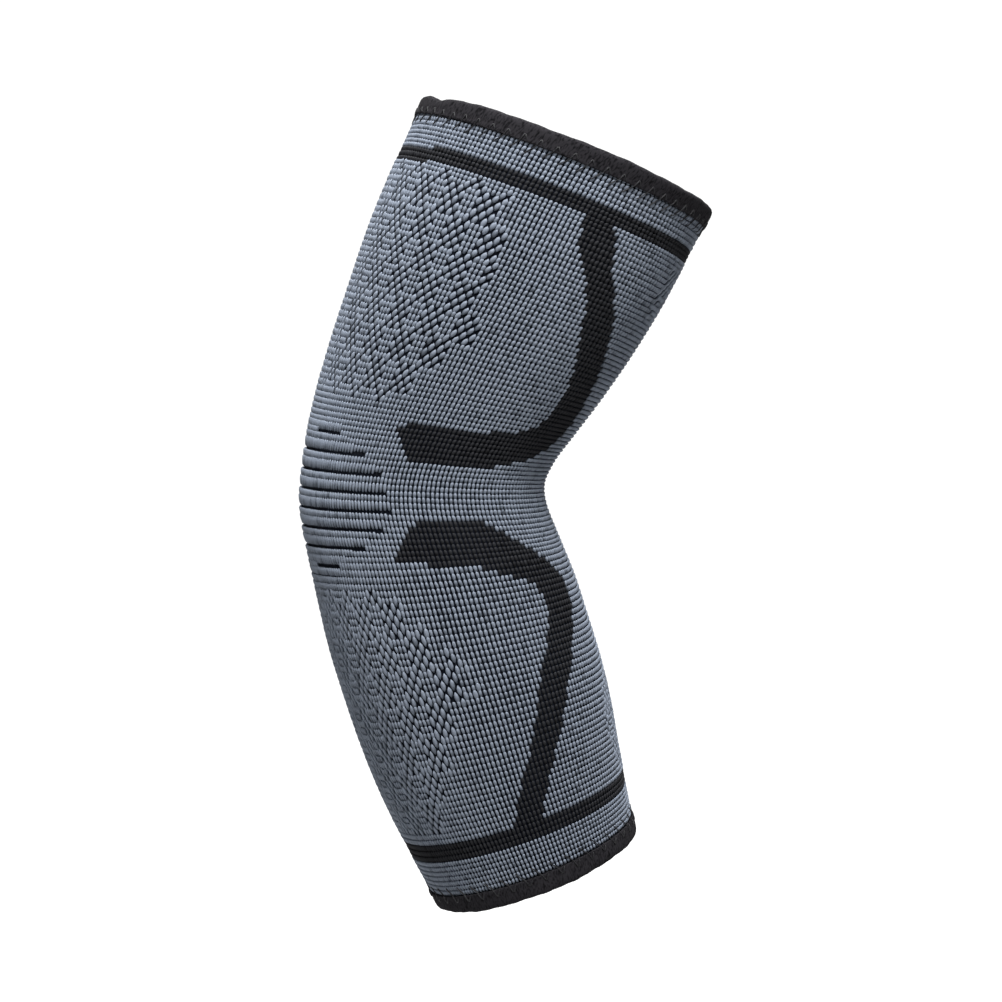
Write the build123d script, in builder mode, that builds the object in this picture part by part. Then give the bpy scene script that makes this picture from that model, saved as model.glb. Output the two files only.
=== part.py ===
from build123d import *
import math
import os

os.makedirs("parts", exist_ok=True)

# Knitted compression sleeve for an elbow, worn shape, bent. Millimetres and degrees.
# Origin at the middle of the upper opening, +Z up, +X towards the crook of the arm,
# +Y along the axis that the elbow turns about.

# Overall sizes
upper_len = 111.0        # upper opening to elbow axis, along the upper arm
forearm_len = 123.0      # elbow axis to lower opening, along the forearm
upper_tilt = 26.0        # upper arm, from vertical
forearm_tilt = 18.7      # forearm, from vertical
flex_half = 52.0         # the part that flexes, each way from the elbow axis
elbow_in = 3.9           # the middle cross-section sits inside the corner of the two axes
elbow_down = 3.6
elbow_tilt = 3.0

# Outside radius of the knit at stations down the arm
upper_cuff_r = 45.6
upper_low_r = 42.2
shoulder_r = 39.2
elbow_r = 37.3
forearm_neck_r = 38.3
forearm_top_r = 39.0
forearm_mid_r = 36.9
lower_cuff_r = 31.6

# Fabric
face_t = 1.1             # outer, patterned face of the double knit
back_t = 0.8             # inner, plain face
lay_gap = 0.2            # air between two layers
fabric_t = face_t + lay_gap + back_t

# Folded binding tape at both openings
tape_w = 6.0
tape_t = 0.9
edge_straight = 8.0      # knit stays cylindrical this far from an opening

# Zigzag stitching on the binding
thread_d = 0.45
stitch_pitch = 5.0       # one V, two stitches
stitch_len = 2.9
stitch_lean = 52.0

# Black bands knitted in
ring_w = 4.5
upper_ring_at = 16.0     # from the upper opening
lower_ring_at = 13.8     # from the lower opening

# Black lines over the point of the elbow
line_pitch = 6.0
line_w = 1.1
line_drop = 0.4
line_centre = -1.5       # height of the set's middle, from the middle of the elbow
line_tilt = 3.0

# Where the forearm's taper turns steeper
forearm_break = 89.0

# Derived frame
elbow_x = -upper_len * math.sin(math.radians(upper_tilt))
elbow_z = -upper_len * math.cos(math.radians(upper_tilt))
reach_y = 70.0


def arm_plane(distance, tilt, upper):
    """Cross-section plane at a distance from the elbow axis, up the arm or down it."""
    lean = math.radians(upper_tilt if upper else forearm_tilt)
    side = 1 if upper else -1
    centre = (elbow_x + distance * math.sin(lean), 0, elbow_z + side * distance * math.cos(lean))
    turn = math.radians(tilt)
    return Plane(origin=centre, x_dir=(0, 1, 0), z_dir=(math.sin(turn), 0, math.cos(turn)))


upper_base = arm_plane(0, upper_tilt, True)
forearm_base = arm_plane(0, -forearm_tilt, False)


def upper_radius(s):
    """Outside radius of the knit at distance s from the elbow axis, in the upper arm."""
    run = upper_len - edge_straight - flex_half
    share = min(1.0, (s - flex_half) / run)
    return upper_low_r + (upper_cuff_r - upper_low_r) * share


def forearm_radius(s):
    """Outside radius of the knit at distance s from the elbow axis, in the forearm."""
    if s <= forearm_break:
        share = (s - flex_half) / (forearm_break - flex_half)
        return forearm_top_r + (forearm_mid_r - forearm_top_r) * share
    share = min(1.0, (s - forearm_break) / (forearm_len - edge_straight - forearm_break))
    return forearm_mid_r + (lower_cuff_r - forearm_mid_r) * share


def band(upper, start, end, depth, thickness):
    """A tubular layer of the straight part, lying depth below the knit's outside."""
    radius = upper_radius if upper else forearm_radius
    turns = [upper_len - edge_straight] if upper else [forearm_break, forearm_len - edge_straight]
    stops = [start] + [s for s in turns if start < s < end] + [end]
    side = 1 if upper else -1
    outside = [(radius(s) - depth, side * s) for s in stops]
    inside = [(radius(s) - depth - thickness, side * s) for s in reversed(stops)]
    base = upper_base if upper else forearm_base
    profile_plane = Plane(origin=base.origin, x_dir=base.y_dir, z_dir=-base.x_dir)
    if (profile_plane.y_dir - base.z_dir).length > 1e-6:
        profile_plane = Plane(origin=base.origin, x_dir=base.y_dir, z_dir=base.x_dir)
    with BuildPart() as layer:
        with BuildSketch(profile_plane):
            with BuildLine():
                Polyline(*outside, *inside, close=True)
            make_face()
        revolve(axis=Axis(base.origin, base.z_dir), revolution_arc=360)
    return layer.part


middle = (elbow_x + elbow_in, 0, elbow_z - elbow_down)
middle_plane = Plane(
    origin=middle,
    x_dir=(0, 1, 0),
    z_dir=(math.sin(math.radians(elbow_tilt)), 0, math.cos(math.radians(elbow_tilt))),
)

# Cross-sections of the part that flexes: plane and outside radius
flex_sections = [
    (arm_plane(flex_half, upper_tilt, True), upper_low_r),
    (arm_plane(flex_half * 0.48, upper_tilt * 0.6, True), shoulder_r),
    (middle_plane, elbow_r),
    (arm_plane(flex_half * 0.48, -forearm_tilt * 0.53, False), forearm_neck_r),
    (arm_plane(flex_half, -forearm_tilt, False), forearm_top_r),
]


def flex_layer(depth, thickness):
    """A layer of the bent part, lying depth below the knit's outside."""
    with BuildPart() as layer:
        for plane, radius in flex_sections:
            with BuildSketch(plane):
                Circle(radius - depth)
        loft()
        for plane, radius in flex_sections:
            with BuildSketch(plane):
                Circle(radius - depth - thickness)
        loft(mode=Mode.SUBTRACT)
    return layer.part


# Outlines of the black stripes seen from the side, from the middle of the elbow, towards
# the crook and up
lower_stripe_drift = 0.19     # the lower stripe leans back towards the elbow side as it goes down
upper_stripe_outline = [
    (49, upper_len), (49, 54), (46, 37), (37, 24), (27, 18), (16, 17), (-6, 19),
    (-3, 8), (20, 7), (38, 14), (47, 22), (54, 37), (58, 57), (58, upper_len),
]
lower_stripe_outline = [
    (-3, -10), (20, -10), (33, -17), (42, -27), (46, -37), (45, -55), (42, -76),
    (42 - lower_stripe_drift * (forearm_len - 76), -forearm_len),
    (32 - lower_stripe_drift * (forearm_len - 82), -forearm_len),
    (32, -82), (36, -64), (38, -46), (37, -34), (30, -26), (13, -21), (-8, -22),
]
side_plane = Plane(origin=middle, x_dir=(1, 0, 0), z_dir=(0, -1, 0))


def stripe_prism(outline):
    """The outline as a prism right through the sleeve."""
    with BuildPart() as prism:
        with BuildSketch(side_plane):
            with BuildLine():
                Polyline(*outline, close=True)
            make_face()
        extrude(amount=reach_y, both=True)
    return prism.part


upper_stripe_prism = stripe_prism(upper_stripe_outline)
lower_stripe_prism = stripe_prism(lower_stripe_outline)

# How far each elbow line runs towards the crook; the end lines are short bars on the sides
line_ends = [-25.0, -18.0, -12.0, -10.5, -10.5, -12.0, -18.0, -25.0]
line_reach = 60.0
bar_start = -31.0
line_plane = side_plane.rotated((0, 0, -line_tilt))
with BuildPart() as line_prisms:
    with BuildSketch(line_plane):
        for i, end in enumerate(line_ends):
            start = bar_start if i in (0, len(line_ends) - 1) else -line_reach
            height = line_centre + (i - (len(line_ends) - 1) / 2) * line_pitch
            with Locations(((start + end) / 2, height)):
                Rectangle(end - start, line_w)
    extrude(amount=reach_y, both=True)

# Stations along the straight parts
upper_ring_top = upper_len - upper_ring_at
upper_ring_low = upper_ring_top - ring_w
lower_ring_low = forearm_len - lower_ring_at
lower_ring_top = lower_ring_low - ring_w
upper_knit_end = upper_len - tape_t - lay_gap
lower_knit_end = forearm_len - tape_t - lay_gap

# Upper arm: outer face, black ring, stripes, inner face
with BuildPart() as upper_hem:
    add(band(True, upper_ring_top, upper_knit_end, 0, face_t))
with BuildPart() as upper_ring:
    add(band(True, upper_ring_low, upper_ring_top, 0, face_t))
with BuildPart() as upper_face:
    add(band(True, flex_half, upper_ring_low, 0, face_t))
    add(upper_stripe_prism, mode=Mode.SUBTRACT)
with BuildPart() as upper_stripes:
    add(band(True, flex_half, upper_ring_low, 0, face_t))
    add(upper_stripe_prism, mode=Mode.INTERSECT)
with BuildPart() as upper_back:
    add(band(True, flex_half, upper_knit_end, face_t + lay_gap, back_t))

# Elbow: outer face with its black lines and the ends of the stripes, inner face
with BuildPart() as elbow_face:
    add(flex_layer(0, face_t))
    add(upper_stripe_prism, mode=Mode.SUBTRACT)
    add(lower_stripe_prism, mode=Mode.SUBTRACT)
    add(line_prisms.part, mode=Mode.SUBTRACT)
with BuildPart() as elbow_stripes_upper:
    add(flex_layer(0, face_t))
    add(upper_stripe_prism, mode=Mode.INTERSECT)
with BuildPart() as elbow_stripes_lower:
    add(flex_layer(0, face_t))
    add(lower_stripe_prism, mode=Mode.INTERSECT)
with BuildPart() as elbow_lines:
    add(flex_layer(line_drop, face_t - line_drop))
    add(line_prisms.part, mode=Mode.INTERSECT)
with BuildPart() as elbow_back:
    add(flex_layer(face_t + lay_gap, back_t))

# Forearm: the same layers
with BuildPart() as forearm_face:
    add(band(False, flex_half, lower_ring_top, 0, face_t))
    add(lower_stripe_prism, mode=Mode.SUBTRACT)
with BuildPart() as forearm_stripes:
    add(band(False, flex_half, lower_ring_top, 0, face_t))
    add(lower_stripe_prism, mode=Mode.INTERSECT)
with BuildPart() as lower_ring:
    add(band(False, lower_ring_top, lower_ring_low, 0, face_t))
with BuildPart() as lower_hem:
    add(band(False, lower_ring_low, lower_knit_end, 0, face_t))
with BuildPart() as forearm_back:
    add(band(False, flex_half, lower_knit_end, face_t + lay_gap, back_t))


def binding(upper):
    """Tape folded over the knit's raw edge: outer leg, fold and inner leg."""
    length = upper_len if upper else forearm_len
    cuff_r = upper_cuff_r if upper else lower_cuff_r
    base = upper_base if upper else forearm_base
    side = 1 if upper else -1
    outer_r = cuff_r + lay_gap + tape_t
    inner_r = cuff_r - fabric_t - lay_gap - tape_t
    mouth = Plane(
        origin=base.origin + base.z_dir * side * length, x_dir=base.x_dir, z_dir=base.z_dir * -side
    )
    with BuildPart() as tape:
        with BuildSketch(mouth):
            Circle(outer_r)
            Circle(inner_r, mode=Mode.SUBTRACT)
        extrude(amount=tape_w)
        with BuildSketch(mouth.offset(tape_t)):
            Circle(outer_r - tape_t)
            Circle(inner_r + tape_t, mode=Mode.SUBTRACT)
        extrude(amount=tape_w, mode=Mode.SUBTRACT)
        fillet(tape.edges().filter_by(GeomType.CIRCLE).group_by(SortBy.RADIUS)[-1]
               .sort_by(Axis(base.origin, base.z_dir * side))[-1], tape_t * 0.8)
    return tape.part


def stitching(upper):
    """Zigzag of short straight stitches round the outer leg of a binding."""
    length = upper_len if upper else forearm_len
    cuff_r = upper_cuff_r if upper else lower_cuff_r
    base = upper_base if upper else forearm_base
    side = 1 if upper else -1
    surface_r = cuff_r + lay_gap + tape_t
    count = 2 * round(2 * math.pi * surface_r / stitch_pitch)
    height = side * (length - tape_w + stitch_len * 0.55)
    places = [
        base.location * Rot(0, 0, 360 * k / count) * Pos(surface_r, 0, height)
        * Rot(stitch_lean if k % 2 else -stitch_lean, 0, 0)
        for k in range(count)
    ]
    with BuildPart() as threads:
        with Locations(*places):
            Box(thread_d, thread_d, stitch_len)
    return threads.part


with BuildPart() as upper_binding:
    add(binding(True))
with BuildPart() as lower_binding:
    add(binding(False))
with BuildPart() as upper_stitching:
    add(stitching(True))
with BuildPart() as lower_stitching:
    add(stitching(False))

upper_hem.part.label = "upper_hem"
upper_ring.part.label = "upper_ring"
upper_face.part.label = "upper_face"
upper_stripes.part.label = "upper_stripes"
upper_back.part.label = "upper_back"
elbow_face.part.label = "elbow_face"
elbow_stripes_upper.part.label = "elbow_stripes_upper"
elbow_stripes_lower.part.label = "elbow_stripes_lower"
elbow_lines.part.label = "elbow_lines"
elbow_back.part.label = "elbow_back"
forearm_face.part.label = "forearm_face"
forearm_stripes.part.label = "forearm_stripes"
lower_ring.part.label = "lower_ring"
lower_hem.part.label = "lower_hem"
forearm_back.part.label = "forearm_back"
upper_binding.part.label = "upper_binding"
lower_binding.part.label = "lower_binding"
upper_stitching.part.label = "upper_stitching"
lower_stitching.part.label = "lower_stitching"

export_step(upper_hem.part, "parts/upper_hem.step")
export_step(upper_ring.part, "parts/upper_ring.step")
export_step(upper_face.part, "parts/upper_face.step")
export_step(upper_stripes.part, "parts/upper_stripes.step")
export_step(upper_back.part, "parts/upper_back.step")
export_step(elbow_face.part, "parts/elbow_face.step")
export_step(elbow_stripes_upper.part, "parts/elbow_stripes_upper.step")
export_step(elbow_stripes_lower.part, "parts/elbow_stripes_lower.step")
export_step(elbow_lines.part, "parts/elbow_lines.step")
export_step(elbow_back.part, "parts/elbow_back.step")
export_step(forearm_face.part, "parts/forearm_face.step")
export_step(forearm_stripes.part, "parts/forearm_stripes.step")
export_step(lower_ring.part, "parts/lower_ring.step")
export_step(lower_hem.part, "parts/lower_hem.step")
export_step(forearm_back.part, "parts/forearm_back.step")
export_step(upper_binding.part, "parts/upper_binding.step")
export_step(lower_binding.part, "parts/lower_binding.step")
export_step(upper_stitching.part, "parts/upper_stitching.step")
export_step(lower_stitching.part, "parts/lower_stitching.step")
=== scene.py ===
import math

import bpy
import numpy as np
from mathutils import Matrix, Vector


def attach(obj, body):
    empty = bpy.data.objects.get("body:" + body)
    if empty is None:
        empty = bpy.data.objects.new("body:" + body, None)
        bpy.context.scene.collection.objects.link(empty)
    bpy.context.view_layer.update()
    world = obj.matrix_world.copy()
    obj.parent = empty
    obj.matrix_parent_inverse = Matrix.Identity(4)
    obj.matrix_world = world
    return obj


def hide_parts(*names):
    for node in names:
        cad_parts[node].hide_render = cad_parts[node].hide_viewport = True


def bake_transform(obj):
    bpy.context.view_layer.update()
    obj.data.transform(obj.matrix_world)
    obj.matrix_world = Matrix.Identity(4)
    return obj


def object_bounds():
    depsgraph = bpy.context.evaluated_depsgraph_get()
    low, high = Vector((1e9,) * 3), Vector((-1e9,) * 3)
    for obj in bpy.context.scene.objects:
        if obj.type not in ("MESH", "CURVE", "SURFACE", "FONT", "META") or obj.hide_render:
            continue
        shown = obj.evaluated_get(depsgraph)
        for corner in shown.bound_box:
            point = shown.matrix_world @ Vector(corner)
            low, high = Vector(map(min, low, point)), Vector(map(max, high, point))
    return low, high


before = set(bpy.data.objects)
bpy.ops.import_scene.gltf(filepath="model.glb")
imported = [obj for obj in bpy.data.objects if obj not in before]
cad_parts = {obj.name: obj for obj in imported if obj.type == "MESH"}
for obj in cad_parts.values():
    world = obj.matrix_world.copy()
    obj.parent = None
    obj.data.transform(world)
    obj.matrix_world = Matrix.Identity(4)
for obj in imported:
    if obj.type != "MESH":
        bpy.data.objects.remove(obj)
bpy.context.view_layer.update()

MM = 0.001
RNG = np.random.default_rng(7)

# ---------------------------------------------------------------- the sleeve's surface
WALES = 192              # stitches round the sleeve; a turn round it is counted in the same unit
HALF = WALES // 2
QUARTER = WALES // 4
COURSES = 130            # rows of knitting
LENGTH = 134             # the sleeve's length in units of the table below
UPPER_RING = (7, 10)     # rows
LOWER_RING = (120, 123)

# distance along the sleeve, then the outline on the elbow's side and on the crook's side (x, z in mm)
STATIONS = np.array([
    (0, -46.0, 9.7, 40.0, -23.8),
    (8, -49.7, 1.6, 36.4, -30.9),
    (12, -51.6, -2.2, 34.7, -34.4),
    (22, -59.9, -21.6, 27.1, -48.6),
    (32, -66.5, -40.5, 18.8, -62.1),
    (42, -72.9, -59.9, 9.5, -75.5),
    (50, -77.5, -76.0, 1.4, -86.2),
    (56, -79.8, -87.7, -4.3, -93.8),
    (61, -81.2, -97.6, -7.3, -100.6),
    (65, -81.7, -105.4, -6.6, -106.5),
    (69, -80.8, -113.2, -4.1, -112.9),
    (74, -78.9, -122.8, -1.2, -119.9),
    (80, -76.6, -133.9, 2.0, -127.8),
    (88, -73.3, -148.6, 5.6, -138.9),
    (98, -67.6, -167.6, 10.1, -153.4),
    (108, -61.0, -186.4, 13.5, -168.3),
    (116, -55.3, -199.6, 15.4, -179.3),
    (122, -50.7, -208.9, 17.0, -187.4),
    (126, -48.0, -214.2, 17.7, -191.8),
    (134, -42.5, -224.4, 19.6, -201.4),
])
PAST_END = 4             # units that the smoothed outline goes on past each end
STEPS = 4                # its steps to a unit
RELAX, RELAX_REACH = 4.0, 10     # how far it is smoothed, in steps


def smooth_outline():
    """The outline at every step, from a cubic through the stations, then relaxed a little."""
    at, value = STATIONS[:, 0], STATIONS[:, 1:]
    slope = np.gradient(value, at, axis=0)
    c = np.linspace(-PAST_END, LENGTH + PAST_END, (LENGTH + 2 * PAST_END) * STEPS + 1)
    within = np.clip(c, 0, LENGTH)
    i = np.clip(np.searchsorted(at, within, side="right") - 1, 0, len(at) - 2)
    gap = (at[i + 1] - at[i])[:, None]
    t = ((within - at[i]) / gap[:, 0])[:, None]
    p = ((2 * t**3 - 3 * t**2 + 1) * value[i] + (t**3 - 2 * t**2 + t) * gap * slope[i]
         + (-2 * t**3 + 3 * t**2) * value[i + 1] + (t**3 - t**2) * gap * slope[i + 1])
    past = (c - within)[:, None]
    p = p + past * np.where(past < 0, slope[0], slope[-1])
    kernel = np.exp(-0.5 * (np.arange(-RELAX_REACH, RELAX_REACH + 1) / RELAX) ** 2)
    kernel /= kernel.sum()
    before = 2 * p[0] - p[RELAX_REACH:0:-1]
    after = 2 * p[-1] - p[-2:-2 - RELAX_REACH:-1]
    padded = np.vstack([before, p, after])
    return c, np.stack([np.convolve(column, kernel, "valid") for column in padded.T], 1)


OUTLINE_C, OUTLINE = smooth_outline()


def section(c):
    """Centre, half-width direction and half-width of the section at c, in mm."""
    x0, z0, x1, z1 = (np.interp(c, OUTLINE_C, column) for column in OUTLINE.T)
    centre = np.stack([(x0 + x1) / 2, (z0 + z1) / 2], -1)
    across = np.stack([x1 - x0, z1 - z0], -1)
    half = np.linalg.norm(across, axis=-1) / 2
    return centre, across / (2 * half[..., None]), half


def section_depths(places=60, window=9):
    """Half the section's depth along Y: its half-width, measured square to the arm and smoothed."""
    c = np.linspace(0, LENGTH, places)
    centre, across, half = section(c)
    way = np.gradient(centre, c, axis=0)
    way /= np.linalg.norm(way, axis=1)[:, None]
    square = np.abs(across[:, 1] * way[:, 0] - across[:, 0] * way[:, 1])
    padded = np.pad(half * square, window // 2, mode="edge")
    return c, np.convolve(padded, np.ones(window) / window, "valid")


DEPTH_C, DEPTH = section_depths()


def place(c, v):
    """A point of the sleeve's outside, in mm. c is the distance along it. v is the turn round it:
    0 is over the point of the elbow, QUARTER faces -Y and HALF is in the crook."""
    centre, across, half = section(c)
    turn = 2 * math.pi * v / WALES
    reach = -np.cos(turn) * half
    return np.stack([
        centre[..., 0] + reach * across[..., 0],
        -np.sin(turn) * np.interp(c, DEPTH_C, DEPTH),
        centre[..., 1] + reach * across[..., 1],
    ], -1)


def from_elbow(v):
    """How far turn v is from the point of the elbow, on either side."""
    return np.minimum(v % WALES, (-v) % WALES)


# The rows of knitting lie closer or wider apart along the sleeve: row number, then where it lies
# over the elbow, on the side and in the crook
ROWS = np.array([
    (0, -0.4, -2.0, -3.9),
    (0.3, 0, -1.6, -3.4),
    (1.4, 1.3, 0, -1.6),
    (2.3, 2.4, 1.3, 0),
    (7, 8, 8, 8),
    (10, 12, 12, 12),
    (30, 29.2, 29.7, 31.5),
    (46, 44.3, 44.6, 46.4),
    (56, 53, 53.1, 54.7),
    (77, 74, 73.4, 72.8),
    (90, 88.8, 88.7, 88.0),
    (106, 106.2, 106.2, 106.2),
    (120, 122, 122, 122),
    (123, 126, 126, 126),
    (130, 134, 134, 134),
])
# and the wales closer or wider round it: for places along the sleeve, how wide a wale is at TURNS
TURNS = np.array([0, 20, 28, 35, 42, 48, 57, 65, 80, 96])
WIDTHS = {
    0: (0.95, 0.95, 0.95, 0.94, 0.93, 0.90, 0.92, 0.97, 1.05, 1.10),
    24: (0.93, 0.93, 0.93, 0.93, 0.95, 0.93, 0.97, 1.02, 1.10, 1.12),
    37: (0.88, 0.90, 0.92, 0.94, 0.97, 0.98, 1.03, 1.10, 1.12, 1.12),
    62: (0.84, 0.84, 0.85, 0.87, 1.00, 1.04, 1.06, 1.09, 1.10, 1.10),
    80: (0.83, 0.85, 0.93, 0.99, 1.05, 1.08, 1.12, 1.15, 1.12, 1.06),
    134: (0.86, 0.90, 0.95, 1.00, 1.05, 1.08, 1.10, 1.10, 1.08, 1.04),
}
FINE = 4                 # steps of the wale tables to a wale


def wale_tables():
    """For each place in WIDTHS, the turn where each step of a wale lies."""
    fine = np.linspace(0, HALF, HALF * FINE + 1)
    middle = fine[1:] - 0.5 / FINE
    tables = []
    for widths in WIDTHS.values():
        count = np.concatenate([[0], np.cumsum(np.diff(fine) / np.interp(middle, TURNS, widths))])
        tables.append(np.interp(fine, count * HALF / count[-1], fine))
    return np.array(list(WIDTHS)), np.array(tables)


WALE_AT, WALE_TABLE = wale_tables()


def along(k, v):
    """Where row k lies along the sleeve, at turn v."""
    over, beside, crook = (np.interp(k, ROWS[:, 0], ROWS[:, j]) for j in (1, 2, 3))
    t = from_elbow(v) / QUARTER
    return np.where(t < 1, over + (beside - over) * t, beside + (crook - beside) * (t - 1))


def turned(w, c):
    """The turn where wale w lies, at distance c along the sleeve."""
    i = np.clip(np.searchsorted(WALE_AT, c, side="right") - 1, 0, len(WALE_AT) - 2)
    t = np.clip((c - WALE_AT[i]) / (WALE_AT[i + 1] - WALE_AT[i]), 0, 1)
    x = np.clip(from_elbow(w) * FINE, 0, HALF * FINE - 0.001)
    j = x.astype(int)
    r = x - j
    v = ((WALE_TABLE[i, j] * (1 - r) + WALE_TABLE[i, j + 1] * r) * (1 - t)
         + (WALE_TABLE[i + 1, j] * (1 - r) + WALE_TABLE[i + 1, j + 1] * r) * t)
    return np.where((w % WALES) > HALF, WALES - v, v)


def lay(k, w):
    """Distance along and turn of row k and wale w."""
    k, w = np.broadcast_arrays(np.asarray(k, float), np.asarray(w, float))
    c = along(k, turned(w, along(k, w)))
    return c, turned(w, c)


def skin(k, w):
    return place(*lay(k, w))


def frame_at(k, w, at=skin):
    """Point, one step round, one step along and outward normal."""
    point = at(k, w)
    wale_step = at(k, w + 0.5) - at(k, w - 0.5)
    row_step = at(k + 0.5, w) - at(k - 0.5, w)
    normal = np.cross(row_step, wale_step)
    normal /= np.linalg.norm(normal, axis=-1)[..., None]
    return point, wale_step, row_step, normal


def edge_frame(c, w, sign):
    """Points round the edge at c, the way out past that edge and the outward normal. sign is 1 at
    the upper edge and -1 at the lower one."""
    point, _, row_step, normal = frame_at(np.full(len(w), float(c)), w, place)
    return point, -sign * row_step / np.linalg.norm(row_step, axis=1)[:, None], normal


# ---------------------------------------------------------------- the knitting chart
# The stripes' edges on one side: distance along, then the turn
UPPER_IN = [(12, 56.2), (17, 57.8), (24, 64), (32, 68), (40, 72), (47, 72.3), (49, 70), (50.2, 66),
            (50.6, 60), (51.0, 38.6), (57.0, 44.8)]
UPPER_OUT = [(12, 62.6), (18, 66), (26, 72.8), (34, 77.6), (41, 81.4), (47, 83.2), (50.4, 81.8),
             (53, 79.6), (55.1, 75.4), (57.0, 65)]
LOWER_IN = [(67.1, 46.8), (68.7, 44.4), (73.8, 38.8), (74.2, 56), (76.4, 64), (79, 71), (83, 73),
            (88, 72), (93, 67.6), (100, 63), (108, 58), (122, 48)]
LOWER_OUT = [(67.1, 63), (70.5, 71), (74.4, 77.4), (78, 82), (80, 83.4), (85, 83.4), (90, 79.6),
             (100, 71.6), (110, 64), (122, 55.5)]
# The thin lines over the elbow: the row of each, and the turns it starts and ends at on either side
LINES = [(56, 14.5, 24.4), (59, 0, 33), (62, 0, 38.8), (65, 0, 40.8),
         (68, 0, 41.6), (71, 0, 38.6), (74, 0, 32.5), (77, 13.5, 23.6)]
LINE_EVERY = 3           # rows
JOG = 22                 # the wale where each round of knitting starts
PLAIN, BLACK_KNIT, LINE_KNIT = 0, 1, 2


def edge(points, c):
    at, turn = np.array(points, float).T
    return np.interp(c, at, turn)


def chart(k, w):
    """What is knitted in row k, wale w."""
    mid, v = lay(k + 0.5, w + 0.5)
    side = from_elbow(v)
    jog = np.where((w % WALES) < JOG, 1, 0)
    ring = (k >= UPPER_RING[0] + jog) & (k < UPPER_RING[1] + jog)
    ring |= (k >= LOWER_RING[0]) & (k < LOWER_RING[1])
    body = (k >= UPPER_RING[1]) & (k < LOWER_RING[0])
    upper = body & (mid < UPPER_IN[-1][0]) & (side >= edge(UPPER_IN, mid)) & (side < edge(UPPER_OUT, mid))
    lower = body & (mid > LOWER_IN[0][0]) & (side >= edge(LOWER_IN, mid)) & (side < edge(LOWER_OUT, mid))
    kind = np.where(ring | upper | lower, BLACK_KNIT, PLAIN)
    for row, start, end in LINES:
        kind = np.where((k == row) & (side >= start) & (side < end), LINE_KNIT, kind)
    return kind


# Where the diamond texture is: distance along, then the turn it reaches from the elbow's side
UPPER_ZONE = [(12, 42), (21, 45), (30, 46), (36, 48), (41, 44), (47, 38), (48.5, 38)]
LOWER_ZONE = [(78.6, 0), (78.7, 38), (84, 41.5), (87, 45), (92, 49), (95.5, 51), (98, 48),
              (102, 44.5), (105, 41), (109, 38.5), (114, 35), (119, 31)]
UPPER_SPAN = (13, 48)
LOWER_SPAN = (78.8, 119.5)
CROOK_ZONES = [(13, 24, 18, 83), (101, 120, 110, 84)]    # from, to, widest at, turn it starts at there
CROOK_TAPER = 0.35
DIAMOND_WALES, DIAMOND_ROWS = 4, 5       # half a diamond's width and height
SMALL_CORE = 0.46        # how much of a diamond, from its middle out, is small stitches


def in_diamond(k, w):
    """How far a stitch is from the middle of the nearest diamond of one set: 1 is its border."""
    i = (w + DIAMOND_WALES) % (2 * DIAMOND_WALES) - DIAMOND_WALES
    j = (k + DIAMOND_ROWS) % (2 * DIAMOND_ROWS) - DIAMOND_ROWS
    return np.abs(i) / DIAMOND_WALES + np.abs(j) / DIAMOND_ROWS


def big_loops(k, w):
    """Where stitches are held over two wales, in diamonds between diamonds of small ones."""
    c, v = lay(k + 0.5, w + 0.5)
    side = from_elbow(v)
    zone = (c >= UPPER_SPAN[0]) & (c < UPPER_SPAN[1]) & (side < edge(UPPER_ZONE, c))
    zone |= (c >= LOWER_SPAN[0]) & (c < LOWER_SPAN[1]) & (side < edge(LOWER_ZONE, c))
    for first, last, widest, start in CROOK_ZONES:
        zone |= (c >= first) & (c < last) & (side >= start + np.abs(c - widest) * CROOK_TAPER)
    nearest = np.minimum(in_diamond(k, w), in_diamond(k + DIAMOND_ROWS, w + DIAMOND_WALES))
    return zone & (nearest > SMALL_CORE)


# ---------------------------------------------------------------- meshes
def mesh_object(name, verts, faces, material, inside=None, within=None):
    """A smooth mesh; the faces numbered in within take the material inside."""
    mesh = bpy.data.meshes.new(name)
    faces = np.asarray(faces)
    count, size = faces.shape
    mesh.vertices.add(len(verts))
    mesh.vertices.foreach_set("co", (np.asarray(verts) * MM).astype(np.float32).ravel())
    mesh.loops.add(count * size)
    mesh.loops.foreach_set("vertex_index", faces.astype(np.int32).ravel())
    mesh.polygons.add(count)
    mesh.polygons.foreach_set("loop_start", np.arange(0, count * size, size, dtype=np.int32))
    mesh.polygons.foreach_set("use_smooth", np.full(count, True))
    mesh.update(calc_edges=True)
    mesh.materials.append(material)
    if inside is not None:
        mesh.materials.append(inside)
        number = np.zeros(count, np.int32)
        number[within] = 1
        mesh.polygons.foreach_set("material_index", number)
    mesh.validate()
    o = bpy.data.objects.new(name, mesh)
    bpy.context.scene.collection.objects.link(o)
    return o


def set_tone(o, tone):
    """Gives each point the tone that its yarn's material reads."""
    a = o.data.attributes.new("yarn_tone_and_painted_light", "FLOAT", "POINT")
    a.data.foreach_set("value", tone.astype(np.float32))


def quads(a, b, count, flip=False):
    """The quads between two closed rings of count points, which start at points a and b."""
    k = np.arange(count)
    k1 = (k + 1) % count
    corners = [a + k, a + k1, b + k1, b + k]
    if flip:
        corners = [a + k, b + k, b + k1, a + k1]
    return np.stack(corners, 1)


GRAIN_SIDES = 6
GRAIN_RINGS = 3


def grain(rings):
    """A stitch between two tips, in units of wale, row and depth. A ring is its place and radius."""
    points = [(0, 1.0, 0.0)]
    for t, r in reversed(rings):
        for k in range(GRAIN_SIDES):
            a = 2 * math.pi * (k + 0.5) / GRAIN_SIDES
            points.append((r * math.cos(a), t, r * math.sin(a)))
    points.append((0, -1.0, 0.0))
    return np.array(points, float)


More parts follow.
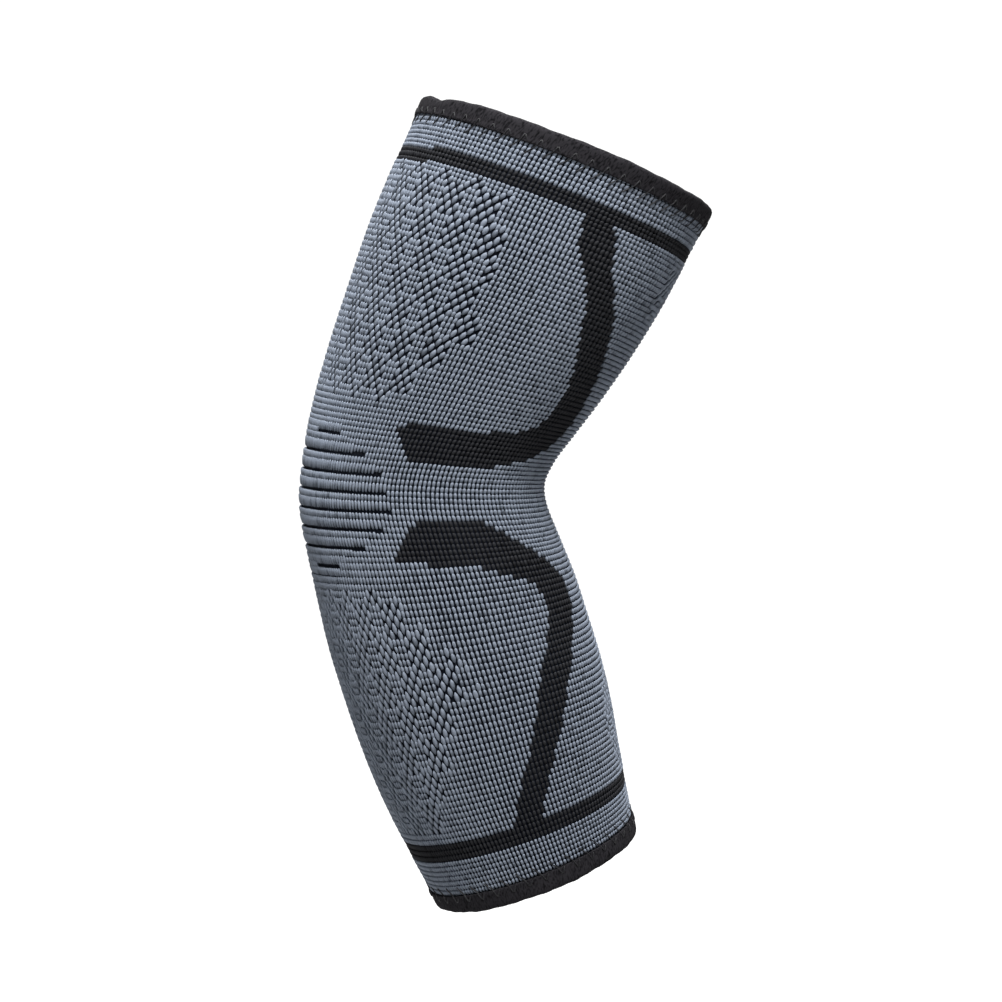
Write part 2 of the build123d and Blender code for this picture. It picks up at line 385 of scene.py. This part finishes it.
def grain_faces():
    """The triangles of a grain: its tips and the bands between its rings."""
    last = 1 + (GRAIN_RINGS - 1) * GRAIN_SIDES
    tip = last + GRAIN_SIDES
    faces = []
    for k in range(GRAIN_SIDES):
        k1 = (k + 1) % GRAIN_SIDES
        faces.append((0, 1 + k, 1 + k1))
        faces.append((tip, last + k1, last + k))
    for start in range(1, last, GRAIN_SIDES):
        for k in range(GRAIN_SIDES):
            a, b = start + k, start + (k + 1) % GRAIN_SIDES
            faces.append((a, a + GRAIN_SIDES, b))
            faces.append((b, a + GRAIN_SIDES, b + GRAIN_SIDES))
    return np.array(faces)[:, ::-1]


LONG_GRAIN = grain([(-0.55, 0.68), (-0.05, 1.0), (0.50, 0.82)])     # a stitch held over two wales
GRAIN = grain([(-0.72, 0.76), (-0.02, 1.0), (0.66, 0.90)])          # a plain one
GRAIN_FACES = grain_faces()

# The texture is looser above the elbow, and the plain knit is a little tighter below it
LOOSE_TO = 62            # rows
TIGHT_FROM = 79
BIG_WIDTH = (0.61, 0.56)         # half-width in wales, above and below
BIG_LENGTH = (0.80, 0.92)        # half-length in rows
BIG_LEAN = (0.15, 0.04)          # wales
PLAIN_WIDTH = (0.42, 0.385)
PLAIN_LEAN = (0.07, 0.0)
PLAIN_LENGTH = ([55, 85], [0.60, 0.50])      # turns from the elbow, and the half-length there
TIGHT_LENGTH = 0.95
BIG_HEIGHT, PLAIN_HEIGHT = 0.50, 0.42        # half-height in mm
STITCH_DEPTH = 0.42      # mm
HEAD_RISE = 0.16         # mm that a stitch's head stands above its middle
SIZE_VARIES, HEIGHT_VARIES = 0.05, 0.08      # shares of a stitch's sizes
LEAN_VARIES = 0.04       # wales
# A stitch's tone from 0 to 1 and how it varies from stitch to stitch; then painted light, as under light
# from above: how much its head gains as painted highlight and its foot loses as painted shade, how much
# its flanks lose as painted shade and how much its crown gains as painted highlight
TONE, TONE_VARIES = 0.5, 0.15
HEAD_HIGHLIGHT_FOOT_SHADE, PAINTED_FLANK_SHADE, PAINTED_CROWN_HIGHLIGHT = 0.30, 0.14, 0.10


def varied(count, share):
    return RNG.uniform(1 - share, 1 + share, count)


def stitches(name, k, w, big, low, slide, tall, material):
    """Grains at rows k and wales w. big ones span two wales; low ones lie deeper; slide moves
    them down by part of a row and tall stretches them."""
    point, wale_step, row_step, normal = frame_at(k + 0.5 + slide, w + 0.5)
    count = len(k)
    loose, easy = k < LOOSE_TO, k < TIGHT_FROM
    plain_length = np.interp(from_elbow(w), *PLAIN_LENGTH) * np.where(easy, 1.0, TIGHT_LENGTH)
    half_w = np.where(big, np.where(loose, *BIG_WIDTH), np.where(easy, *PLAIN_WIDTH))
    half_w = half_w * varied(count, SIZE_VARIES)
    half_k = np.where(big, np.where(loose, *BIG_LENGTH), plain_length) * tall
    half_k = half_k * varied(count, SIZE_VARIES)
    half_n = np.where(big, BIG_HEIGHT, PLAIN_HEIGHT) * varied(count, HEIGHT_VARIES)
    lean = np.where(big, np.where(loose, *BIG_LEAN), np.where(loose, *PLAIN_LEAN))
    lean = RNG.normal(0, LEAN_VARIES, count) + lean
    shape = np.where(big[:, None, None], LONG_GRAIN[None], GRAIN[None])
    x = shape[..., 0] * half_w[:, None] + lean[:, None] * shape[..., 1]
    y = -shape[..., 1] * half_k[:, None]
    z = shape[..., 2] * half_n[:, None] + shape[..., 1] * HEAD_RISE + (-STITCH_DEPTH - low)[:, None]
    verts = (point[:, None] + x[..., None] * wale_step[:, None] + y[..., None] * row_step[:, None]
             + z[..., None] * normal[:, None])
    faces = GRAIN_FACES[None] + (np.arange(count) * len(GRAIN))[:, None, None]
    o = mesh_object(name, verts.reshape(-1, 3), faces.reshape(-1, 3), material)
    # painted light: each stitch's head and crown are lighter and its foot and flanks darker, as if lit
    # from above
    tone = (RNG.normal(TONE, TONE_VARIES, count)[:, None] + HEAD_HIGHLIGHT_FOOT_SHADE * shape[..., 1]
            - PAINTED_FLANK_SHADE * np.abs(shape[..., 0]) + PAINTED_CROWN_HIGHLIGHT * (shape[..., 2] > 0.5))
    set_tone(o, np.clip(tone, 0, 1).ravel())
    return o


def tube(name, c, count, outer, inner, rib, material, inside):
    """A closed tube between two heights over the sleeve's outside, with count points round it.
    rib raises the inside along every second wale."""
    c, v = np.meshgrid(c, np.arange(count) * WALES / count, indexing="ij")
    point, _, _, normal = frame_at(c, v, place)
    top = point + normal * outer
    under = point + normal * (inner + rib * np.cos(math.pi * v))[..., None]
    starts = np.arange(len(c)) * count
    base = len(c) * count
    end = starts[-1]
    lining = [quads(base + a, base + b, count) for a, b in zip(starts, starts[1:])]
    faces = lining + [quads(a, b, count, flip=True) for a, b in zip(starts, starts[1:])]
    faces += [quads(0, base, count), quads(end, base + end, count, flip=True)]
    verts = np.concatenate([top.reshape(-1, 3), under.reshape(-1, 3)])
    within = np.arange(len(lining) * count)
    return mesh_object(name, verts, np.concatenate(faces), material, inside, within)


# ---------------------------------------------------------------- materials
FIBRE_SHARE = 0.55       # how much the fibres and the slow drift add to a stitch's own tone
DRIFT_SHARE = 0.35
DRIFT_SCALE = 60
DARK_AT, LIGHT_AT = 0.35, 1.45 / 1.5     # the tones where the two colours are reached
FIBRE_RELIEF = 0.0001    # m


def noise(tree, coordinates, scale):
    node = tree.nodes.new("ShaderNodeTexNoise")
    node.inputs["Scale"].default_value = scale
    tree.links.new(coordinates.outputs["Object"], node.inputs["Vector"])
    return node


def add_share(tree, share, part, whole):
    """whole + share * part"""
    node = tree.nodes.new("ShaderNodeMath")
    node.operation = "MULTIPLY_ADD"
    node.inputs[1].default_value = share
    tree.links.new(part, node.inputs[0])
    tree.links.new(whole, node.inputs[2])
    return node.outputs[0]


def yarn(name, dark, light, rough, fibre=2400.0, sheen=0.05, bump=0.5, specular=0.35):
    """Spun yarn: a tone for each stitch, which on the stitches carries painted highlight and painted
    shade, finer fibre streaks and a soft sheen.
    """
    m = bpy.data.materials.new(name)
    m.use_nodes = True
    tree = m.node_tree
    tree.nodes.clear()
    out = tree.nodes.new("ShaderNodeOutputMaterial")
    shader = tree.nodes.new("ShaderNodeBsdfPrincipled")
    tree.links.new(shader.outputs[0], out.inputs[0])
    stitch_tone = tree.nodes.new("ShaderNodeAttribute")
    stitch_tone.attribute_name = "yarn_tone_and_painted_light"
    coordinates = tree.nodes.new("ShaderNodeTexCoord")
    fibres = noise(tree, coordinates, fibre)
    fibres.inputs["Detail"].default_value = 3
    drift = noise(tree, coordinates, DRIFT_SCALE)
    tone = add_share(tree, FIBRE_SHARE, fibres.outputs["Fac"], stitch_tone.outputs["Fac"])
    tone = add_share(tree, DRIFT_SHARE, drift.outputs["Fac"], tone)
    ramp = tree.nodes.new("ShaderNodeValToRGB")
    for element, at, colour in zip(ramp.color_ramp.elements, (DARK_AT, LIGHT_AT), (dark, light)):
        element.position = at
        element.color = (*colour, 1)
    tree.links.new(tone, ramp.inputs["Fac"])
    tree.links.new(ramp.outputs["Color"], shader.inputs["Base Color"])
    shader.inputs["Roughness"].default_value = rough
    shader.inputs["Sheen Weight"].default_value = sheen
    shader.inputs["Sheen Roughness"].default_value = 0.5
    shader.inputs["Specular IOR Level"].default_value = specular
    relief = tree.nodes.new("ShaderNodeBump")
    relief.inputs["Strength"].default_value = bump
    relief.inputs["Distance"].default_value = FIBRE_RELIEF
    tree.links.new(fibres.outputs["Fac"], relief.inputs["Height"])
    tree.links.new(relief.outputs["Normal"], shader.inputs["Normal"])
    return m


GREY = yarn("grey_yarn", (0.070, 0.085, 0.110), (0.33, 0.378, 0.462), 0.50)
BLACK = yarn("black_yarn", (0.008, 0.008, 0.010), (0.033, 0.034, 0.039), 0.6, sheen=0.0, specular=0.2)
# Painted shade: the layer under the stitches is coloured far darker than the yarn so that the gaps between
# stitches read dark
GAP_SHADE_GROUND = yarn("ground_painted_shade", (0.006, 0.008, 0.014), (0.022, 0.027, 0.042), 0.9, sheen=0.0, specular=0.1)
BACK = yarn("back_yarn", (0.022, 0.025, 0.034), (0.12, 0.132, 0.165), 0.8, sheen=0.02, specular=0.2)
TAPE = yarn("binding_tape", (0.002, 0.002, 0.003), (0.034, 0.032, 0.037), 0.85,
            fibre=1500, sheen=0.01, bump=0.9, specular=0.10)
THREAD = yarn("seam_thread", (0.022, 0.022, 0.025), (0.085, 0.085, 0.092), 0.38)


def moves(o):
    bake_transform(o)
    return o


row, wale = (a.ravel() for a in np.meshgrid(np.arange(COURSES), np.arange(WALES), indexing="ij"))
kind = chart(row, wale)
big = (big_loops(row, wale) & (kind == PLAIN)).reshape(COURSES, WALES)

# Inside the texture every second stitch is left out and its neighbours are held over its place
amid = (np.roll(big, 1, 0) & np.roll(big, -1, 0)) | (np.roll(big, 1, 1) & np.roll(big, -1, 1))
odd = (row + wale) % 2 == 1
UNDER_TAPE = -1.2        # rows that lie further up than this are left out
keep = ~((big & amid).ravel() & odd) & (lay(row + 0.5, wale + 0.5)[0] > UNDER_TAPE)
big = big.ravel() & ~odd
row, wale, kind, big = row[keep], wale[keep], kind[keep], big[keep]

# Ribs between the elbow lines stand proud and the lines lie deep
STRIPE_LOW, LINE_LOW, RIB_LOW = 0.12, 0.75, -0.06        # mm
side = from_elbow(lay(row + 0.5, wale + 0.5)[1])
line_ends = [(at, end) for at, _, end in LINES]
by_lines = (row >= LINES[0][0] - 1) & (row <= LINES[-1][0] + 1) & (side < edge(line_ends, row))
rib = by_lines & (kind == PLAIN)
low = np.select([kind == BLACK_KNIT, kind == LINE_KNIT, rib], [STRIPE_LOW, LINE_LOW, RIB_LOW], 0.0)

# Of the two grey rows between elbow lines the first is shorter than the second
FIRST_SLIDE, SECOND_SLIDE = -0.16, 0.06      # shares of a row
FIRST_TALL, SECOND_TALL, LINE_TALL = 1.05, 1.42, 0.85
after = (row - LINES[0][0]) % LINE_EVERY
first_row, second_row = rib & (after == 1), rib & (after == 2)
slide = np.select([first_row, second_row], [FIRST_SLIDE, SECOND_SLIDE], 0.0)
tall = np.select([first_row, second_row, kind == LINE_KNIT], [FIRST_TALL, SECOND_TALL, LINE_TALL], 1.0)

# Part of the sleeve, first row and the row after the last
BANDS = [("upper", 0, 10), ("upper", 10, 34), ("elbow", 34, 54), ("elbow", 54, 78), ("elbow", 78, 97),
         ("forearm", 97, 110), ("forearm", 110, 123), ("forearm", 123, 130)]
for part, first, last in BANDS:
    for label, is_black, material, slot in (("grey", False, GREY, "face_yarn"),
                                            ("black", True, BLACK, "black_yarn")):
        pick = (row >= first) & (row < last) & ((kind != PLAIN) == is_black)
        if pick.any():
            o = stitches(f"{part}_stitches_{label}_{first}", row[pick], wale[pick], big[pick],
                         low[pick], slide[pick], tall[pick], material)
            moves(o)

UNDER_EDGE = 3.5         # units that the inner layer goes on past the outer one, into the bindings
# its outside takes the painted-shade colour that shows in the gaps between the stitches
ground = tube("sleeve_ground", np.linspace(-UNDER_EDGE, LENGTH + UNDER_EDGE, 120), 2 * WALES,
              outer=-0.78, inner=-1.75, rib=0.16, material=GAP_SHADE_GROUND, inside=BACK)
moves(ground)

# ---------------------------------------------------------------- bindings
TAPE_POINTS = 960        # round the edge
TAPE_UP = 5.8            # mm that the fold stands above the sleeve's edge
TAPE_HALF = 0.22         # half the tape's thickness, mm
FOLD = (1.1, 1.2)        # the fold's height and half-depth, mm
FOLD_MIDDLE = -0.92      # its middle, mm out from the sleeve's outside
# Up the outside and down the inside: how far up, how far out (mm), which way the tape's outside faces
TAPE_OUTSIDE = [(0.05, 0.12, 80), (0.30, 0.19, 90), (0.8, 0.20, 90), (1.4, 0.15, 90), (2.0, 0.20, 90),
                (2.7, 0.25, 90), (3.4, 0.28, 90), (4.0, 0.28, 90)]
TAPE_INSIDE = [(3.8, -2.14, -90), (2.6, -2.16, -90), (1.4, -2.1, -90), (0.3, -2.14, -90)]
END_DIP, END_AT, END_WIDTH = 0.85, 16.3, 3.2     # the dip next to where the tape's ends overlap
WAVES = [(0.10, 7, 1), (0.07, 19, 2), (0.05, 43, 0)]     # unevenness: mm, waves round the edge, phase
BRUSHED = 0.027          # mm
TAPE_TONE, TAPE_TONE_VARIES, TAPE_TONE_MOST = 0.42, 0.42, 1.2


def tape_profile():
    """The outline of the folded tape: how far up and how far out each point is."""
    line = list(TAPE_OUTSIDE)
    fold_base = TAPE_UP - TAPE_HALF - FOLD[0]
    for a in np.linspace(80, -80, 9):
        line.append((fold_base + FOLD[0] * math.cos(math.radians(a)),
                     FOLD_MIDDLE + FOLD[1] * math.sin(math.radians(a)), a))
    line = np.array(line + TAPE_INSIDE)
    facing = np.stack([np.cos(np.radians(line[:, 2])), np.sin(np.radians(line[:, 2]))], 1)
    return np.concatenate([line[:, :2] + TAPE_HALF * facing, (line[:, :2] - TAPE_HALF * facing)[::-1]])


def binding(name, c, sign, body):
    """Tape folded over the edge at c: a closed profile swept round, a little uneven and brushed."""
    w = np.arange(TAPE_POINTS) * WALES / TAPE_POINTS
    turn = 2 * math.pi * w / WALES
    profile = tape_profile()
    point, up, normal = edge_frame(c, w, sign)
    wave = sum(size * np.sin(number * turn + phase) for size, number, phase in WAVES)
    if sign > 0:
        wave = wave - END_DIP * np.exp(-((from_elbow(w) - END_AT) / END_WIDTH) ** 2)
    brushed = RNG.normal(0, BRUSHED, (len(profile), TAPE_POINTS))
    rings = []
    for (height, out), rough in zip(profile, brushed[..., None]):
        swell = (wave * (height / TAPE_UP))[:, None]
        rings.append(point + up * (height + swell + 0.5 * rough) + normal * (out + 0.2 * swell + rough))
    starts = np.arange(len(profile)) * TAPE_POINTS
    pairs = list(zip(starts, np.roll(starts, -1)))
    if sign < 0:
        pairs = [(b, a) for a, b in pairs]
    faces = np.concatenate([quads(a, b, TAPE_POINTS) for a, b in pairs])
    o = mesh_object(name, np.concatenate(rings), faces, TAPE)
    tone = RNG.normal(TAPE_TONE, TAPE_TONE_VARIES, len(profile) * TAPE_POINTS)
    set_tone(o, np.clip(tone, 0, TAPE_TONE_MOST))
    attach(o, body)
    return o


upper_tape = binding("upper_binding_tape", 0.0, 1, "upper_arm")
lower_tape = binding("lower_binding_tape", LENGTH, -1, "forearm")

# One stitch of the zigzag: share of its points, share of the pitch, how far up, how far out (mm). The
# thread goes over the tape's edge, dives, comes out on the knit below it and goes back over the edge
ZIGZAG = np.array([
    (0, 0, 2.0, 0.30), (0.06, 0.04, 1.85, 0.56), (0.20, 0.24, 0.30, 0.50), (0.26, 0.28, 0.20, -0.90),
    (0.42, 0.34, -2.4, -1.0), (0.47, 0.36, -2.8, -0.3), (0.54, 0.42, -2.6, 0.04), (0.80, 0.80, -0.2, 0.12),
    (0.86, 0.86, 0.25, 0.50), (0.95, 0.97, 1.85, 0.56), (1, 1, 2.0, 0.30)])
ZIGZAG_POINTS = 18       # to a stitch
WANDER, WANDER_RATE = 0.12, 2.4          # mm, and how fast the stitches' height varies round the edge
THREAD_RADIUS, THREAD_SIDES = 0.17, 6    # mm


def zigzag(name, c, sign, body, count):
    """The zigzag seam round the edge at c: one closed thread with count stitches."""
    points = count * ZIGZAG_POINTS
    k = np.arange(points)
    share = (k % ZIGZAG_POINTS) / ZIGZAG_POINTS
    pitch_share, height, out = (np.interp(share, ZIGZAG[:, 0], ZIGZAG[:, j]) for j in (1, 2, 3))
    w = (k // ZIGZAG_POINTS + pitch_share) * WALES / count
    height = height + WANDER * np.sin(WANDER_RATE * w)
    point, up, normal = edge_frame(c, w, sign)
    path = point + up * height[:, None] + normal * out[:, None]
    way = np.roll(path, -1, 0) - np.roll(path, 1, 0)
    way /= np.linalg.norm(way, axis=1)[:, None]
    a = np.cross(way, normal)
    a /= np.linalg.norm(a, axis=1)[:, None]
    b = np.cross(a, way)
    rings = [path + THREAD_RADIUS * (math.cos(q) * a + math.sin(q) * b)
             for q in np.arange(THREAD_SIDES) * 2 * math.pi / THREAD_SIDES]
    starts = np.arange(THREAD_SIDES) * points
    faces = np.concatenate([quads(i, j, points) for i, j in zip(starts, np.roll(starts, -1))])
    o = mesh_object(name, np.concatenate(rings), faces, THREAD)
    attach(o, body)
    return o


upper_thread = zigzag("upper_seam_thread", 0.0, 1, "upper_arm", 58)
lower_thread = zigzag("lower_seam_thread", LENGTH, -1, "forearm", 41)

# ---------------------------------------------------------------- the model's parts that the pieces replace are hidden
for piece, nodes in {
    "upper_stitches_grey_0": ["upper_hem"],
    "upper_stitches_black_0": ["upper_ring"],
    "upper_stitches_grey_10": ["upper_face"],
    "upper_stitches_black_10": ["upper_stripes"],
    "elbow_stitches_grey_34": ["elbow_face"],
    "elbow_stitches_black_34": ["elbow_stripes_upper"],
    "elbow_stitches_black_54": ["elbow_lines"],
    "elbow_stitches_black_78": ["elbow_stripes_lower"],
    "forearm_stitches_grey_97": ["forearm_face"],
    "forearm_stitches_black_97": ["forearm_stripes"],
    "forearm_stitches_grey_123": ["lower_hem"],
    "forearm_stitches_black_110": ["lower_ring"],
}.items():
    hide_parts(*nodes)
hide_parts("upper_back", "elbow_back", "forearm_back")
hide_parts("upper_binding")
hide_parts("lower_binding")
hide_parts("upper_stitching")
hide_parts("lower_stitching")

# ---------------------------------------------------------------- studio
WHITE = (1, 1, 1, 1)
FLOOR_BELOW = 0.25       # m under the sleeve
FLOOR_HALF = 6.0
low_corner, high_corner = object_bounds()
centre = (np.array(low_corner) + np.array(high_corner)) / 2


def floor():
    """A pale floor that looks plain white to the camera."""
    s, z = FLOOR_HALF, low_corner[2] - FLOOR_BELOW
    mesh = bpy.data.meshes.new("floor")
    mesh.from_pydata([(-s, -s, z), (s, -s, z), (s, s, z), (-s, s, z)], [], [(0, 1, 2, 3)])
    m = bpy.data.materials.new("floor_white")
    m.use_nodes = True
    shader = m.node_tree.nodes["Principled BSDF"]
    shader.inputs["Base Color"].default_value = (0.55, 0.55, 0.55, 1)
    shader.inputs["Roughness"].default_value = 0.9
    shader.inputs["Specular IOR Level"].default_value = 0.0
    shader.inputs["Emission Color"].default_value = WHITE
    path = m.node_tree.nodes.new("ShaderNodeLightPath")
    m.node_tree.links.new(path.outputs["Is Camera Ray"], shader.inputs["Emission Strength"])
    mesh.materials.append(m)
    o = bpy.data.objects.new("floor", mesh)
    bpy.context.scene.collection.objects.link(o)


def surroundings(lit, seen):
    """An even white world: lit is how strongly it lights the sleeve, seen how bright it looks."""
    world = bpy.data.worlds.new("studio")
    bpy.context.scene.world = world
    world.use_nodes = True
    tree = world.node_tree
    around = tree.nodes["Background"]
    around.inputs["Color"].default_value = WHITE
    around.inputs["Strength"].default_value = lit
    backdrop = tree.nodes.new("ShaderNodeBackground")
    backdrop.inputs["Color"].default_value = WHITE
    backdrop.inputs["Strength"].default_value = seen
    path = tree.nodes.new("ShaderNodeLightPath")
    mix = tree.nodes.new("ShaderNodeMixShader")
    tree.links.new(path.outputs["Is Camera Ray"], mix.inputs[0])
    tree.links.new(around.outputs[0], mix.inputs[1])
    tree.links.new(backdrop.outputs[0], mix.inputs[2])
    tree.links.new(mix.outputs[0], tree.nodes["World Output"].inputs["Surface"])


def light(name, away, size, power):
    """A square light, away from the sleeve's centre and facing it."""
    lamp = bpy.data.lights.new(name, "AREA")
    lamp.shape = "RECTANGLE"
    lamp.size, lamp.size_y = size, size
    lamp.energy = power
    o = bpy.data.objects.new(name, lamp)
    bpy.context.scene.collection.objects.link(o)
    o.location = centre + np.array(away)
    o.rotation_euler = Vector(-np.array(away)).to_track_quat("-Z", "Y").to_euler()


def camera(aim, distance, pitch, lens):
    """A camera that looks along +Y and down by pitch, at aim."""
    lens_data = bpy.data.cameras.new("camera")
    lens_data.sensor_width = 36
    lens_data.lens = lens
    o = bpy.data.objects.new("camera", lens_data)
    bpy.context.scene.collection.objects.link(o)
    o.location = np.array(aim) + distance * np.array([0, -math.cos(pitch), math.sin(pitch)])
    o.rotation_euler = (math.radians(90) - pitch, 0, 0)
    bpy.context.scene.camera = o


floor()
surroundings(lit=0.14, seen=1.1)
light("key", (0.04, -0.36, 0.57), size=0.30, power=4.4)
light("top", (0.0, 0.2, 1.2), size=1.4, power=17)
camera(aim=(-0.0205, 0.0, -0.1056), distance=0.58, pitch=math.radians(4), lens=68.6)
bpy.context.scene.view_settings.view_transform = "Standard"
